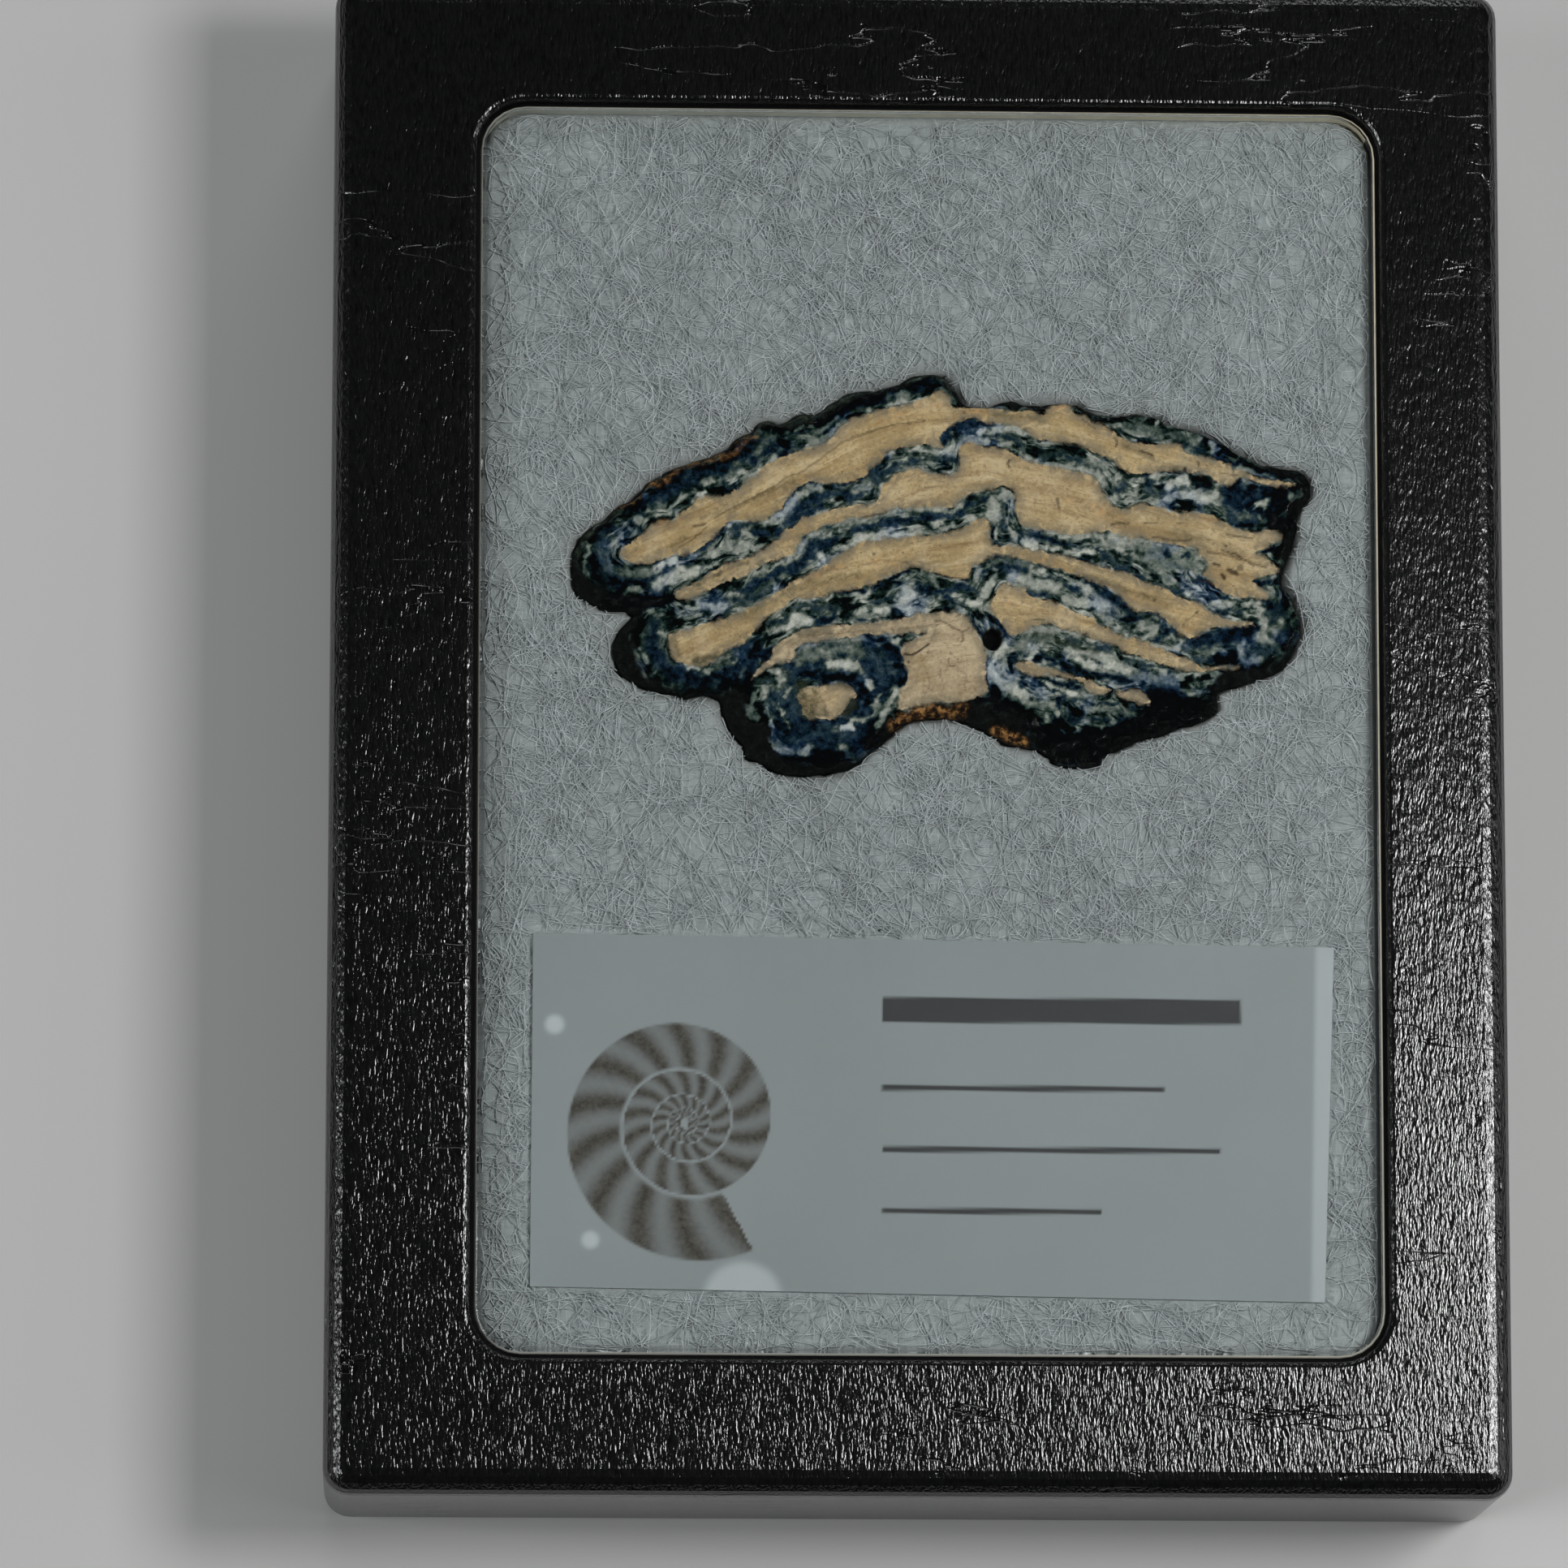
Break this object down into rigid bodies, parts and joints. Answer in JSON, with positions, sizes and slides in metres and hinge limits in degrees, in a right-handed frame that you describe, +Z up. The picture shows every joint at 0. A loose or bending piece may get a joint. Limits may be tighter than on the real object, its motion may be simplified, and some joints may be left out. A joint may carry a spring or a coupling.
{
  "type": "mammoth molar slice in display case",
  "caption": "Polished cross-section of a mammoth molar on white fibre fill, under the clear window of a flat black display case with a paper card.",
  "frame": {"origin": "middle of the case's underside, on the surface it lies on", "axes": "+Z up through the window, +Y from the card's end to the far end, +X to the right of the card"},
  "size_m": [0.0842, 0.1096, 0.0191],
  "materials": {
    "black_board": "black paper over board, matt",
    "black_leatherette": "black embossed leather-grain paper over board, semi-gloss",
    "clear_pane": "clear formed window, polished",
    "white_fibre": "pressed white fibre fill",
    "card_paper": "smooth white card",
    "polished_tooth": "polished face, cream dentine between blue-black enamel bands, rough dark sides"
  },
  "bodies": {
    "root": {"base_tray": "black_board", "lid": "black_leatherette", "window": "clear_pane", "fibre_pad": "white_fibre", "label_card": "card_paper", "molar_slice": "polished_tooth"}
  },
  "joints": []
}
